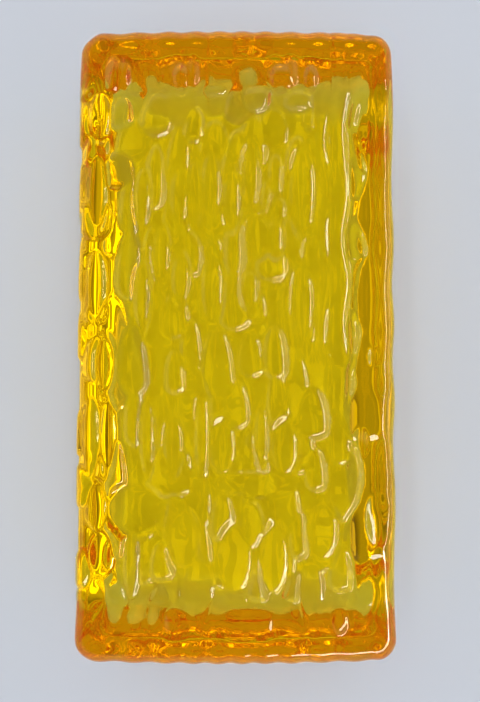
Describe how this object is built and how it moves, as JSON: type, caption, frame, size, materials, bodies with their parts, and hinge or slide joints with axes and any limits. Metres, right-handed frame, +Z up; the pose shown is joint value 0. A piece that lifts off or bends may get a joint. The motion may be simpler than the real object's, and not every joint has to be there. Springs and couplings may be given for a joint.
{
  "type": "glass block",
  "caption": "Solid cast glass brick with a bark-like pattern of staggered cells on its upper face, rounded edges and a flat foot.",
  "frame": {"origin": "centre of the foot's footprint, on the face that the brick rests on", "axes": "+Y along the brick's length, +X across its width, +Z up through its thickness to the patterned face"},
  "size_m": [0.1, 0.2, 0.05],
  "materials": {
    "amber_glass": "fire-polished clear yellow glass"
  },
  "bodies": {
    "root": {"glass_brick": "amber_glass"}
  },
  "joints": []
}
